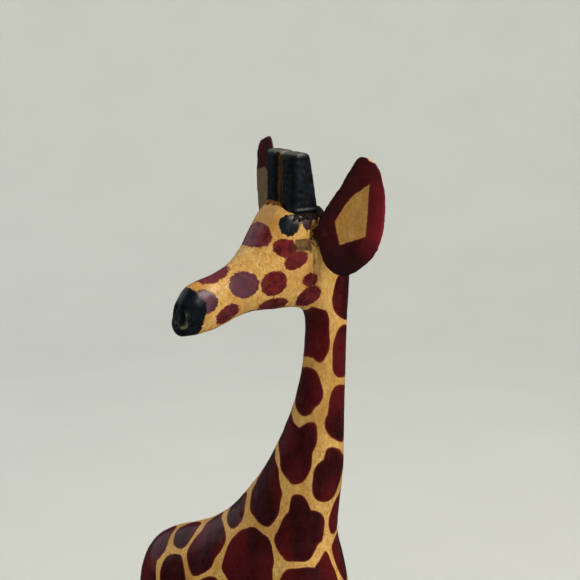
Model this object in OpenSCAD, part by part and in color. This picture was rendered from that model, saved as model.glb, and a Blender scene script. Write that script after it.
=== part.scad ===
// Hand-carved standing giraffe. The body, neck, head and legs are one block of
// wood; the ears, the horn stubs and the tail are small carvings whose round
// pegs are glued into drilled sockets, each with a bead of glue around its root.

/* [Stance] */
// Height of the neck axis where it meets the throat
throat_z = 162.5; // [158:0.5:166]
// How far the head is turned to the statue's right, in degrees
head_turn = 115; // [95:1:125]
// Distance of each leg's axis from the middle plane, at the hoof
leg_spread = 8; // [6.5:0.25:9.5]
// Scale of the leg thickness
leg_stout = 1; // [0.85:0.05:1.2]

/* [Horn stubs] */
// Width of a stub, from side to side
stub_w = 5.2; // [4:0.1:5.4]
// Depth of a stub at its root, from front to back
stub_root_l = 7.4; // [6:0.1:7.6]
// Depth of a stub at its flat cut top
stub_top_l = 5.4; // [4.5:0.1:6]
// Height of the left stub above its seat
stub_h = 12.9; // [9:0.1:14]
// Distance between the two stub axes
stub_pitch = 6; // [5.8:0.1:6.6]
// How much taller the right stub is
right_stub_extra = 0.1; // [0:0.1:1.5]

/* [Ears] */
// Length of an ear, from its low edge to its tip
ear_len = 27; // [23:0.5:29]
// Widest part of an ear
ear_w = 15; // [13:0.5:18]
// How much higher the right ear stands
right_ear_lift = 2; // [0:0.1:3]
// Angle that the left ear's hollow face turns outward from straight ahead
left_ear_turn = 36; // [20:1:50]
// Angle that the right ear's hollow face turns outward from straight ahead
right_ear_turn = 11; // [0:1:50]
// Outward lean of the left ear's length
left_ear_lean = 11; // [0:1:20]
// Outward lean of the right ear's length
right_ear_lean = 17; // [0:1:20]
// How much broader the right ear's tip is, as a share of the ear's width
right_ear_breadth = 0.22; // [0:0.02:0.24]

/* [Glued pegs] */
// Diameter of the peg on an ear or a horn stub, and of its socket
peg_d = 2.8; // [2:0.1:3]
// Depth of a socket
peg_depth = 3.8; // [2.5:0.1:4.5]
// Diameter of the tail's peg
tail_peg_d = 2; // [1.6:0.1:2.4]

/* [Tail] */
// Drop of the tail from its root to the end of its tuft
tail_drop = 34; // [24:1:40]

/* [Hidden] */

// Moves the model so that the middle of its footprint is the origin
center_shift = [18.8, 12.2, 0];

// Points around a section of the body and of a leg, sections added between two
// rows, and facets of round pegs and sockets
body_sides = 32;
leg_sides = 20;
ring_steps = 2;
round_fn = 64;

wood = "goldenrod";
dark_paint = "darkslategray";
ear_paint = "darkred";
glue_brown = "saddlebrown";

// Side outline of the torso and neck, from rump to throat. Each row is one cross
// section: back point x and z, belly or front point x and z, half width, how far
// the head's turn has begun (0 to 1), how much narrower the back is than the
// belly, and how square the upper half is (0 is round).
trunk = [
    [-50.8, 90.5, -50.2, 84, 2.6, 0, 0, 0],
    [-49.9, 95.4, -48.8, 78.5, 6.4, 0, 0.05, 0],
    [-47.7, 99.4, -46, 74.7, 9.2, 0, 0.1, 0],
    [-43.6, 102.2, -42.2, 73, 11, 0, 0.12, 0],
    [-38, 104.3, -36, 72.6, 12, 0, 0.12, 0],
    [-32.5, 106.5, -27.5, 72, 12.4, 0, 0.14, 0],
    [-28.4, 109, -18.5, 71.6, 12.4, 0, 0.15, 0],
    [-25.4, 111.5, -9.5, 72.4, 12.2, 0, 0.16, 0],
    [-23.2, 113.8, -2, 76, 11.8, 0, 0.16, 0],
    [-21.2, 116.2, 3, 82, 11.2, 0, 0.15, 0],
    [-19.1, 118.8, 5.4, 89.5, 10.4, 0, 0.12, 0],
    [-16.9, 121.8, 4.1, 98, 9.4, 0, 0.1, 0],
    [-14.8, 125, 2.1, 107, 8.4, 0, 0.06, 0],
    [-12.7, 128.8, 2.9, 115.5, 7.6, 0, 0.04, 0],
    [-10.8, 133, 3.9, 124, 6.9, 0.06, 0.02, 0],
    [-9, 138, 4.2, 132, 6.3, 0.2, 0, 0],
    [-7.3, 143.6, 4.4, 139.5, 5.7, 0.42, 0, 0],
    [-5.9, 149.6, 4.6, 147.2, 5.1, 0.66, 0, 0],
    [-5.1, 155.4, 4.7, 154, 4.8, 0.88, 0, 0]
];

// The same for the head, in its own upright middle plane: distance forward of the
// neck axis and height above the throat. The rows fan around the throat.
head = [
    [-4.9, 0, 4.7, -3, 4.8, 1, 0, 0],
    [-5.2, 6, 5.2, -0.6, 5, 1, 0, 0.05],
    [-5, 11.5, 6.3, 1, 5.3, 1, 0, 0.12],
    [-3.4, 17, 7.8, 1.8, 5.8, 1, 0, 0.25],
    [0, 21.6, 9.8, 2.2, 6.3, 1, 0, 0.38],
    [5, 24.8, 12, 2.4, 6.6, 1, -0.02, 0.48],
    [10.2, 26.2, 14.6, 2.5, 6.6, 1, -0.02, 0.5],
    [14.4, 26.1, 17.2, 2.6, 6.1, 1, 0, 0.46],
    [18.2, 22, 19.6, 2.7, 5.4, 1, 0, 0.34],
    [20.7, 18.7, 22, 2.6, 4.8, 1, 0.02, 0.24],
    [23.2, 15.9, 24.6, 2.1, 4.3, 1, 0.04, 0.15],
    [26.3, 13.7, 27.6, 1, 3.9, 1, 0.05, 0.08],
    [29.8, 12.2, 30.7, 0, 3.6, 1, 0.04, 0.05],
    [33.2, 11.3, 34.2, -0.6, 3.5, 1, 0.02, 0.05],
    [36.2, 10.4, 37.5, -0.8, 3.4, 1, 0, 0.05],
    [37.7, 9.1, 39.4, -0.4, 3, 1, 0, 0],
    [38.8, 7.6, 40.3, 0.8, 2.2, 1, 0, 0]
];
// Share of the upper half's squareness that the lower half has
lower_square = 0.3;

// Legs, from the sole up: axis x, distance outward from the hoof's axis, z,
// half length and half width of the section.
front_leg = [
    [0.6, 0, 0, 4, 3.3],
    [0.4, 0, 1.6, 4.1, 3.4],
    [-0.2, 0, 6, 3.2, 2.9],
    [-0.4, 0, 8.5, 2.7, 2.5],
    [-0.4, -0.1, 16, 2.4, 2.3],
    [-0.4, -0.3, 28, 2.5, 2.4],
    [0, -0.4, 34, 3.2, 2.9],
    [0, -0.5, 39, 3.2, 2.9],
    [-0.4, -0.7, 46, 2.9, 2.7],
    [-1, -1, 58, 3.4, 3.1],
    [-1.8, -1.4, 68, 4.8, 3.9],
    [-3, -2, 76, 6.6, 4.6],
    [-4.2, -2.8, 85, 7.2, 4.4]
];
hind_leg = [
    [-44.4, 0, 0, 4, 3.3],
    [-44.6, 0, 1.6, 4.1, 3.4],
    [-45.4, 0, 6, 3.2, 2.9],
    [-45.8, 0, 8.5, 2.7, 2.5],
    [-46.6, -0.1, 16, 2.4, 2.3],
    [-47.8, -0.3, 28, 2.5, 2.4],
    [-48.2, -0.4, 35, 3.1, 2.8],
    [-48, -0.5, 41, 3.3, 2.9],
    [-46.6, -0.8, 50, 3.5, 3],
    [-45, -1.1, 60, 4.6, 3.6],
    [-43.8, -1.5, 70, 6.2, 4.4],
    [-43, -2.2, 78, 7.4, 4.8],
    [-42.6, -3, 86, 7.4, 4.4]
];

// Ear outline from its low edge to its tip, as shares of the length and the width:
// way along, inner edge, outer edge, then plate thickness and hollow depth
ear_outline = [
    [0, 0.4, 0.56, 1.2, 0],
    [0.03, 0.28, 0.66, 1.5, 0.2],
    [0.09, 0.18, 0.77, 1.8, 0.5],
    [0.21, 0.07, 0.93, 2, 1],
    [0.35, 0, 1, 2.1, 1.3],
    [0.49, 0.06, 1, 2.1, 1.5],
    [0.64, 0.18, 0.96, 2, 1.4],
    [0.79, 0.28, 0.89, 1.8, 1.1],
    [0.89, 0.34, 0.8, 1.6, 0.7],
    [0.955, 0.39, 0.71, 1.4, 0.4],
    [0.99, 0.44, 0.61, 1.2, 0.1]
];
// Points across the front of an ear's section, from edge to edge
ear_points = 9;
// Point on an ear that its root stem meets
ear_root_across = 3;
ear_root_along = 8;
ear_root_d = 3.6;
// Where the stem leaves the head: forward, to the side and up from the throat
ear_seat = [6.2, 5.4, 19.4];
// Way out along the stem to its round end, and to the middle of the ear plate
ear_stem = 1.8;
ear_stand_off = 3.6;

// Where the stubs stand: forward and up from the throat
stub_seat = [9.5, 24.6];
// Corner shape of a stub: 1 is an ellipse, and less is squarer
stub_square = 0.45;
// Stub sections from the root: way up, and share of the full size there
stub_rows = [[0, 1], [0.3, 0.98], [0.8, 0.97], [0.93, 0.96], [0.985, 0.9], [1, 0.82]];
stub_sides = 24;

// Glue beads: reach past the root, and height
ear_glue = [1.3, 0.8];
stub_glue = [0.8, 1.3];
// Play between a stub's glue bead and its seat and root
glue_play = 0.05;
// How far a cut for a seat or socket runs outward, clear of the wood
seat_reach = 6;

// Where the tail is glued on, and the flat spot cut for its root
tail_root = [-49.4, 0, 84.5];
tail_seat_d = 3.2;
// Tail, as shares of its drop: way down, distance out, half thickness
tail_rows = [
    [0, 1.6, 1.5],
    [0.06, 2.4, 1.45],
    [0.2, 3.4, 1.3],
    [0.4, 4, 1.15],
    [0.58, 4.2, 1.1],
    [0.66, 4.3, 1.3],
    [0.76, 4.4, 2],
    [0.88, 4.3, 2.1],
    [0.96, 4.1, 1.4],
    [1, 4, 0.7]
];
tail_sides = 14;

// Value of a smooth curve through rows a, b, c and d, between b and c
function curve(a, b, c, d, t) =
    0.5 * (2 * b + t * (c - a) + t * t * (2 * a - 5 * b + 4 * c - d)
        + t * t * t * (3 * (b - c) + d - a));

function row_at(rows, i) = rows[max(0, min(len(rows) - 1, i))];

function smooth_rows(rows, steps) = [
    for (i = [0:len(rows) - 2])
        for (k = [0:steps - 1])
            curve(row_at(rows, i - 1), rows[i], rows[i + 1], row_at(rows, i + 2), k / steps),
    rows[len(rows) - 1]
];

// A row's cross section: its center in its own upright plane, half height, half
// width, pitch, turn, narrowing and squareness
function section(s) =
    let (dx = s[0] - s[2], dz = s[1] - s[3])
    [(s[0] + s[2]) / 2, (s[1] + s[3]) / 2, norm([dx, dz]) / 2, s[4], atan2(-dx, dz),
        -head_turn * s[5], s[6], s[7]];

// The torso's plane runs along x, and the head's plane is turned
function trunk_section(s) =
    let (c = section(s))
    concat([c[0], 0], [for (i = [1:7]) c[i]]);

function head_section(s) =
    let (c = section(s))
    concat([c[0] * cos(c[5]), c[0] * sin(c[5]), c[1] + throat_z], [for (i = [2:7]) c[i]]);

function bent(v, square) = sign(v) * pow(abs(v), 1 - square);

// Points of a section. The first point turns with the head, so that the rows of
// points run straight up the neck.
function section_ring(r) =
    let (
        up = [-sin(r[5]) * cos(r[6]), -sin(r[5]) * sin(r[6]), cos(r[5])],
        left = [-sin(r[6]), cos(r[6]), 0]
    )
    [
        for (k = [0:body_sides - 1])
            let (
                a = 360 * k / body_sides + r[6],
                square = r[8] * (cos(a) > 0 ? 1 : lower_square),
                rise = bent(cos(a), square),
                reach = bent(sin(a), square) * (1 - r[7] * rise)
            )
            [r[0], r[1], r[2]] + up * r[3] * rise + left * r[4] * reach
    ];

// Closed solid through a list of rings that all have the same number of points
module skin(rings) {
    n = len(rings[0]);
    last = len(rings) - 1;
    walls = [
        for (i = [0:last - 1])
            for (k = [0:n - 1])
                let (a = i * n + k, b = i * n + (k + 1) % n)
                each [[a, b, b + n], [a, b + n, a + n]]
    ];
    start_cap = [for (k = [n - 1:-1:0]) k];
    end_cap = [for (k = [0:n - 1]) last * n + k];
    polyhedron(points = [for (r = rings) each r], faces = concat(walls, [start_cap, end_cap]));
}

module leg(rows, side) {
    skin([
        for (s = smooth_rows(rows, ring_steps))
            [
                for (k = [0:leg_sides - 1])
                    let (a = 360 * k / leg_sides)
                    [
                        s[0] + s[3] * leg_stout * cos(a),
                        side * (leg_spread + s[1]) - s[4] * leg_stout * sin(a),
                        s[2]
                    ]
            ]
    ]);
}

// Places children in the head's own frame: +X forward, +Y to its left, +Z up
module on_head() {
    translate([0, 0, throat_z])
        rotate([0, 0, -head_turn])
            children();
}

// Places children at an ear's seat, with +Z pointing out of the head's side
module at_ear(side) {
    on_head()
        translate([ear_seat[0], side * ear_seat[1], ear_seat[2]])
            rotate([-90 * side, 0, 0])
                children();
}

// Places children at a stub's seat, with +Z pointing up
module at_stub(side) {
    on_head()
        translate([stub_seat[0], side * stub_pitch / 2, stub_seat[1]])
            children();
}

// Places children at the tail's root, with +Z pointing back
module at_tail() {
    translate(tail_root)
        rotate([0, -90, 0])
            children();
}

// Cut for a round peg, with a flat seat around its mouth
module socket(d, depth, seat_d) {
    translate([0, 0, -depth])
        cylinder(d = d, h = depth + seat_reach, $fn = round_fn);
    cylinder(d = seat_d, h = seat_reach, $fn = round_fn);
}

// Rounded rectangular slice of a stub, grown outward by some width
module stub_slice(z, grow, h) {
    translate([0, 0, z])
        linear_extrude(h)
            polygon(stub_outline(stub_root_l / 2 + grow, stub_w / 2 + grow));
}

module carved_body() {
    rows = concat([for (s = trunk) trunk_section(s)], [for (s = head) head_section(s)]);
    color(wood)
        translate(center_shift)
            difference() {
                union() {
                    skin([for (r = smooth_rows(rows, ring_steps)) section_ring(r)]);
                    for (side = [-1, 1]) {
                        leg(front_leg, side);
                        leg(hind_leg, side);
                    }
                }
                for (side = [-1, 1]) {
                    at_ear(side)
                        socket(peg_d, peg_depth, ear_root_d + 2 * ear_glue[0]);
                    at_stub(side) {
                        socket(peg_d, peg_depth, peg_d);
                        stub_slice(0, stub_glue[0] + glue_play, seat_reach);
                    }
                }
                at_tail()
                    socket(tail_peg_d, peg_depth, tail_seat_d);
            }
}

// Rounded rectangle with the given half length and half width
function stub_outline(half_l, half_w) = [
    for (k = [0:stub_sides - 1])
        let (a = 360 * k / stub_sides, c = cos(a), d = sin(a))
        [sign(c) * half_l * pow(abs(c), stub_square), sign(d) * half_w * pow(abs(d), stub_square)]
];

// Section of a stub of height h. The back leans forward as it rises, and the front is upright.
function stub_ring(s, h) =
    let (
        half_l = (stub_root_l + (stub_top_l - stub_root_l) * s[0]) / 2 * s[1],
        front = (stub_root_l - stub_top_l) / 2 * s[0],
        outline = stub_outline(half_l, stub_w / 2 * s[1])
    )
    [for (k = [stub_sides - 1:-1:0]) [outline[k][0] + front, outline[k][1], s[0] * h]];

module horn_stub(side, h) {
    color(dark_paint)
        translate(center_shift)
            at_stub(side) {
                skin([for (s = stub_rows) stub_ring(s, h)]);
                translate([0, 0, -peg_depth])
                    cylinder(d = peg_d, h = peg_depth, $fn = round_fn);
            }
}

// The two stubs stand so close that their glue runs together into one bead
module horn_glue() {
    color(glue_brown)
        translate(center_shift)
            difference() {
                for (side = [-1, 1])
                    at_stub(side)
                        stub_slice(0, stub_glue[0], stub_glue[1]);
                for (side = [-1, 1])
                    at_stub(side)
                        stub_slice(-glue_play, glue_play, stub_glue[1] + 2 * glue_play);
            }
}

module ear_glue(side) {
    color(glue_brown)
        translate(center_shift)
            at_ear(side)
                rotate_extrude($fn = round_fn)
                    translate([ear_root_d / 2, 0])
                        polygon([[0, 0], [ear_glue[0], 0], [0, ear_glue[1]]]);
}

module left_ear_glue() { ear_glue(1); }
module right_ear_glue() { ear_glue(-1); }

module tail() {
    color(wood)
        translate(center_shift) {
            translate(tail_root)
                skin([
                    for (s = smooth_rows(tail_rows, ring_steps))
                        [
                            for (k = [0:tail_sides - 1])
                                let (a = 360 * k / tail_sides)
                                [-s[1] + s[2] * cos(a), s[2] * sin(a), -s[0] * tail_drop]
                        ]
                ]);
            at_tail() {
                translate([0, 0, -peg_depth])
                    cylinder(d = tail_peg_d, h = peg_depth + tail_rows[0][1], $fn = round_fn);
            }
        }
}

// Plate of an ear: X is out of its hollow face, Y across it, Z along it
module ear_plate(breadth) {
    rows = smooth_rows(ear_outline, ring_steps);
    translate([0, -ear_root_across, -ear_root_along])
        skin([
            for (s = rows)
                let (
                    inner = s[1] - breadth * pow(s[0], 3),
                    middle = (inner + s[2]) / 2 * ear_w,
                    half = (s[2] - inner) / 2 * ear_w,
                    // Front points run from the outer to the inner edge, back points return
                    across = [for (i = [0:ear_points - 1]) cos(180 * i / (ear_points - 1))],
                    back = [for (i = [1:ear_points - 2]) -across[i]]
                )
                concat(
                    [for (c = across) [s[3] / 2 * sqrt(1 - c * c) - s[4] * (1 - c * c),
                        middle + half * c, s[0] * ear_len]],
                    [for (c = back) [-s[3] / 2 * sqrt(1 - c * c) - s[4] * (1 - c * c),
                        middle + half * c, s[0] * ear_len]]
                )
        ]);
}

module ear(side, turn, lean, lift, breadth) {
    color(ear_paint)
        translate(center_shift) {
            on_head()
                translate([ear_seat[0], side * (ear_seat[1] + ear_stand_off), ear_seat[2]])
                    mirror([0, side < 0 ? 1 : 0, 0])
                        rotate([0, 0, turn])
                            rotate([-lean, 0, 0])
                                translate([0, 0, lift])
                                    ear_plate(breadth);
            at_ear(side) {
                translate([0, 0, -peg_depth])
                    cylinder(d = peg_d, h = peg_depth + ear_stem, $fn = round_fn);
                cylinder(d = ear_root_d, h = ear_stem, $fn = round_fn);
                translate([0, 0, ear_stem])
                    sphere(d = ear_root_d, $fn = round_fn);
            }
        }
}

module left_ear() { ear(1, left_ear_turn, left_ear_lean, 0, 0); }
module right_ear() { ear(-1, right_ear_turn, right_ear_lean, right_ear_lift, right_ear_breadth); }

module left_horn_stub() { horn_stub(1, stub_h); }
module right_horn_stub() { horn_stub(-1, stub_h + right_stub_extra); }

carved_body();
left_ear();
right_ear();
left_horn_stub();
right_horn_stub();
tail();
left_ear_glue();
right_ear_glue();
horn_glue();
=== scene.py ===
"""Looks of the hand-carved, brush-painted wooden giraffe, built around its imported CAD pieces."""
import math

import bmesh
import bpy
import numpy as np
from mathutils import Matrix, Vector


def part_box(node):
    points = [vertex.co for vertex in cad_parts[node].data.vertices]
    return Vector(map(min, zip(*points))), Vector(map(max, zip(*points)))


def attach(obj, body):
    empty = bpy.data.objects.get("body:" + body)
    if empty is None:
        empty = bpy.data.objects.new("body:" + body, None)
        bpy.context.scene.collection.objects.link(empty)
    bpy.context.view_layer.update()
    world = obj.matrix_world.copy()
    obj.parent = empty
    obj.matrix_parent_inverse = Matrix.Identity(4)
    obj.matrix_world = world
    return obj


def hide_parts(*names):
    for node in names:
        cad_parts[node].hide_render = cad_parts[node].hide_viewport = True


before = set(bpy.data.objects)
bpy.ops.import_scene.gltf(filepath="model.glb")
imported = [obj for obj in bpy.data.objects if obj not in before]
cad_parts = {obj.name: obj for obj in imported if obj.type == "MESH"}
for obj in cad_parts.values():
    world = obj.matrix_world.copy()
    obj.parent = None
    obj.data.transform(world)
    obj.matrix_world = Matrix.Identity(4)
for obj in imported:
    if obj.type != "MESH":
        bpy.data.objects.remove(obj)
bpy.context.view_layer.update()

MM = 0.001
SEED = 7

# Head frame, as in the CAD model, in mm: where the ears' seats lie from the throat.
EAR_SEAT_FORWARD = 6.2
EAR_SEAT_UP = 19.4
EAR_SEAT_SIDE = 5.4
EAR_STAND_OFF = 3.6
EAR_LEAN = {"left": math.radians(11), "right": math.radians(17)}
EAR_TURN = {"left": math.radians(36), "right": math.radians(11)}
EAR_LIFT = {"left": 0.0, "right": 2.0}

BODY_VOXEL = 0.45 * MM
SMALL_VOXEL = 0.15 * MM
GLUE_VOXEL = 0.16 * MM

# Heights on the statue, in mm: top of the black hooves, top of the net of spots, chin line.
HOOF_TOP = 7.4
NECK_TOP = 163.5
HEAD_BASE = 160
# A field value that is well outside any painted area.
OUTSIDE = -9.0


# ---------------------------------------------------------------- places

def box_center(node):
    low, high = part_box(node)
    return (Vector(low) + Vector(high)) / 2


def head_axes():
    """Throat point, forward, left and up of the head, from the two ear glue rings."""
    left_seat, right_seat = box_center("left_ear_glue"), box_center("right_ear_glue")
    left = (left_seat - right_seat).normalized()
    forward = Vector((left.y, -left.x, 0))
    up = Vector((0, 0, 1))
    middle = (left_seat + right_seat) / 2
    throat = middle - forward * EAR_SEAT_FORWARD * MM - up * EAR_SEAT_UP * MM
    return throat, forward, left, up


THROAT, FORWARD, LEFT, UP = head_axes()
NECK_FOOT = Vector((THROAT.x, THROAT.y, 0))


def in_head(points):
    """Points in metres as forward, side and up from the throat, in millimetres."""
    rel = points - np.array(THROAT)
    return np.stack([rel @ np.array(FORWARD), rel @ np.array(LEFT), rel @ np.array(UP)], 1) / MM


def in_body(points):
    """Points in metres as x, y and z from the foot of the neck axis, in millimetres."""
    return (points - np.array(NECK_FOOT)) / MM


# ---------------------------------------------------------------- mesh tools

def new_object(name, mesh):
    obj = bpy.data.objects.new(name, mesh)
    bpy.context.collection.objects.link(obj)
    return obj


def baked(obj, name):
    """Replaces obj's modifiers by their result."""
    graph = bpy.context.evaluated_depsgraph_get()
    mesh = bpy.data.meshes.new_from_object(obj.evaluated_get(graph))
    mesh.name = name
    obj.modifiers.clear()
    obj.data = mesh
    return obj


def fine_copy(node, name, voxel, smooth):
    """A new, evenly meshed and smoothed copy of a CAD node's shape."""
    mesh = bpy.data.meshes.new(name)
    bm = bmesh.new()
    bm.from_mesh(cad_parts[node].data)
    bmesh.ops.remove_doubles(bm, verts=bm.verts, dist=1e-7)
    bm.to_mesh(mesh)
    bm.free()
    obj = new_object(name, mesh)
    remesh = obj.modifiers.new("Remesh", "REMESH")
    remesh.mode = "VOXEL"
    remesh.voxel_size = voxel
    remesh.use_smooth_shade = True
    smoothing = obj.modifiers.new("Smooth", "SMOOTH")
    smoothing.factor = 0.5
    smoothing.iterations = smooth
    return baked(obj, name)


def vertices(obj):
    out = np.empty(len(obj.data.vertices) * 3)
    obj.data.vertices.foreach_get("co", out)
    return out.reshape(-1, 3)


def normals(obj):
    out = np.empty(len(obj.data.vertices) * 3)
    obj.data.vertices.foreach_get("normal", out)
    return out.reshape(-1, 3)


def set_vertices(obj, points):
    obj.data.vertices.foreach_set("co", points.ravel())
    obj.data.update()


def store(obj, name, values):
    attribute = obj.data.attributes.new(name, "FLOAT", "POINT")
    attribute.data.foreach_set("value", np.asarray(values, dtype=np.float32))


def shade_smooth(obj):
    obj.data.polygons.foreach_set("use_smooth", [True] * len(obj.data.polygons))


# ---------------------------------------------------------------- fields

def wave_noise(points, size, seed, waves=24):
    """Smooth seeded noise between about -1 and 1 with features of the given size."""
    rng = np.random.default_rng(seed)
    directions = rng.normal(size=(waves, 3))
    directions /= np.linalg.norm(directions, axis=1)[:, None]
    steps = rng.uniform(0.7, 1.4, waves) * 2 * math.pi / size
    phases = rng.uniform(0, 2 * math.pi, waves)
    out = np.zeros(len(points))
    for direction, step, phase in zip(directions, steps, phases):
        out += np.sin(points @ direction * step + phase)
    return out / math.sqrt(waves / 2) / 1.6


def soft_min(values, width):
    """Smallest value of each row, rounded off where two come within width of each other."""
    low = values.min(axis=1)
    return low - width * np.log(np.exp(-(values - low[:, None]) / width).sum(axis=1))


def oval(points, center, radii, tilt=0.0):
    """Distance in mm inside an oval on the head, seen from the side (positive inside)."""
    ahead, rise = points[:, 0] - center[0], points[:, 1] - center[1]
    turn = math.radians(tilt)
    along = ahead * math.cos(turn) + rise * math.sin(turn)
    across = -ahead * math.sin(turn) + rise * math.cos(turn)
    reach = np.sqrt((along / radii[0]) ** 2 + (across / radii[1]) ** 2)
    return (1 - reach) * min(radii)


def polygon_field(points, corners):
    """Distance in mm inside a polygon given in the same plane (positive inside)."""
    inside = np.zeros(len(points), bool)
    nearest = np.full(len(points), 1e9)
    x, y = points[:, 0], points[:, 1]
    for (ax, ay), (bx, by) in zip(corners, corners[1:] + corners[:1]):
        edge = np.array([bx - ax, by - ay])
        rel = np.stack([x - ax, y - ay], 1)
        along = np.clip(rel @ edge / (edge @ edge), 0, 1)
        nearest = np.minimum(nearest, np.linalg.norm(rel - along[:, None] * edge, axis=1))
        crosses = (ay > y) != (by > y)
        with np.errstate(divide="ignore", invalid="ignore"):
            inside ^= crosses & (x < (bx - ax) * (y - ay) / (by - ay) + ax)
    return np.where(inside, nearest, -nearest)


# ---------------------------------------------------------------- painted pattern

# Spots on the left side of the head: forward, up, half length, half height, tilt.
LEFT_CHEEK = [
    (15.6, 17.2, 2.8, 2.1, 10),
    (12.9, 14.2, 3.1, 1.9, -18),
    (24.9, 9.7, 3.4, 2.9, 0),
    (18.1, 9.5, 3.1, 2.9, 0),
    (9.0, 9.4, 2.1, 1.6, 0),
    (8.4, 5.3, 3.2, 2.6, -16),
    (17.1, 4.3, 3.7, 1.7, -4),
    (34.6, 7.0, 3.3, 2.6, 8),
    (28.8, 3.7, 3.1, 2.0, -24),
]
# Spots on the right side, painted to match but not mirrored exactly.
RIGHT_CHEEK = [
    (15.0, 17.0, 3.0, 2.3, 0),
    (12.6, 13.2, 3.1, 2.1, -12),
    (24.4, 9.9, 3.6, 2.9, 0),
    (17.6, 9.0, 3.3, 2.8, 5),
    (8.4, 10.0, 2.4, 1.8, 0),
    (10.2, 5.6, 3.0, 2.1, -10),
    (18.4, 4.2, 3.4, 1.7, 0),
    (32.8, 7.2, 3.2, 2.5, 8),
    (28.0, 3.6, 3.2, 2.1, -20),
]
# Spots across the middle line of the head: forward, side, up, half length, half width.
TOP_SPOTS = [
    (19.0, 0.0, 19.2, 3.3, 4.9),
    (-3.6, 0.6, 15.0, 4.2, 3.0),
    (22.0, 0.0, 2.4, 2.6, 2.2),
    (1.6, -1.0, 23.0, 2.6, 2.8),
]
# Painted eyes: forward, side and up.
EYES = [(14.3, 5.6, 22.0), (14.9, -5.4, 22.4)]
EYE_RADIUS = 2.4
# Paint that ran down between eye and ear: forward, up, half length, half height.
EYE_RUN = (9.8, 22.8, 1.6, 2.3)
# Back edge of the black muzzle paint, from the chin up: height, distance forward.
MUZZLE_EDGE = [(-1, 35.2), (3, 34.8), (5, 34.2), (7, 34.4), (8.6, 35.6), (10.6, 37.2)]
# Spot along the bridge of the nose: forward, up, half length, half height; and its tilt.
NOSE_BRIDGE = (30.9, 13.0, 4.6, 2.2)
BRIDGE_TILT = -19
# Lobes of the net on the neck and body: group, x, y, z, size. Lobes of one group join.
NET_LOBES = [
    (1, -0.9, -4.6, 157.2, 0.6),
    (1, 0.6, -4.7, 156.2, 0.4),
    (2, 4.6, 0.4, 166.2, 0.3),
    (3, 4.8, -0.6, 154.0, 0.8),
    (4, -1.2, -5.3, 145.2, 0.7),
    (4, -2.4, -5.4, 141.0, 0.7),
    (5, 4.0, -1.6, 140.0, 0.4),
    (5, 3.6, -2.2, 135.6, 0.5),
    (6, -1.2, -6.2, 134.6, 0.6),
    (6, -5.6, -6.6, 131.0, 1.5),
    (6, -3.0, -7.2, 128.8, 1.2),
    (7, 3.4, -2.8, 129.0, 0.2),
    (7, 2.0, -4.4, 123.4, 0.8),
    (8, -11.0, -6.2, 121.4, 0.4),
    (8, -11.2, -7.8, 116.6, 1.2),
    (9, -21.4, -4.4, 109.4, -0.9),
    (10, -2.4, -7.7, 117.0, -0.6),
    (10, -4.4, -9.2, 110.4, 0.4),
    (10, 1.4, -6.4, 112.6, -0.1),
    (10, -1.4, -8.8, 107.0, 0.5),
    (11, 2.6, 0.6, 113.4, -0.3),
    (12, -17.4, -9.7, 102.6, 1.0),
    (12, -13.0, -9.9, 105.2, 0.8),
    (12, -14.0, -11.0, 99.4, 1.4),
    (13, -26.4, -7.2, 104.8, 0.0),
    (13, -29.6, -9.2, 100.6, 0.5),
    (14, -36.8, -5.6, 101.8, -0.9),
    (15, -43.8, -5.6, 98.6, 0.0),
    (15, -44.4, -8.4, 91.6, 0.6),
    (16, -37.0, -10.8, 95.2, 0.8),
    (17, -0.2, -9.8, 99.8, 1.2),
    (17, 4.4, -5.8, 101.2, 0.9),
    (17, 1.4, -9.2, 95.0, 1.0),
    (18, 3.6, 2.4, 104.0, -0.2),
    (19, -25.0, -11.4, 91.4, 0.6),
]
# Width of the bare lines between spots, on the body and on the neck.
NET_GAP = (1.05, 0.7)
NECK_STRETCH = 0.56
BODY_STRETCH = 0.86


def net_spacing(z):
    """Distance between neighbouring spots where no lobe is listed."""
    return np.interp(z, [8, 30, 60, 75, 105, 130, 160], [5.4, 6.0, 7.6, 11.0, 11.5, 8.6, 7.6])


def stretch_at(z):
    """How much shorter than they are heights count, so that spots stand tall on neck and legs."""
    return np.interp(z, [60, 80, 104, 124], [0.62, BODY_STRETCH, BODY_STRETCH, NECK_STRETCH])


def net_seeds(points):
    """The listed lobes, and others spread evenly over the rest of the surface."""
    rng = np.random.default_rng(SEED)
    groups = [lobe[0] for lobe in NET_LOBES]
    seeds = [np.array(lobe[1:4]) for lobe in NET_LOBES]
    sizes = [lobe[4] for lobe in NET_LOBES]
    candidates = points[(points[:, 2] > HOOF_TOP + 1) & (points[:, 2] < NECK_TOP)]
    candidates = candidates[rng.permutation(len(candidates))[:9000]]
    spacing = net_spacing(candidates[:, 2])
    stretch = stretch_at(candidates[:, 2])
    for point, gap, squeeze in zip(candidates, spacing, stretch):
        rel = (np.array(seeds) - point) * (1, 1, squeeze)
        if np.linalg.norm(rel, axis=1).min() > gap:
            seeds.append(point)
            groups.append(len(groups) + 100)
            sizes.append(rng.uniform(-0.3, 0.3))
    return np.array(seeds), np.array(groups), np.array(sizes)


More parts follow.
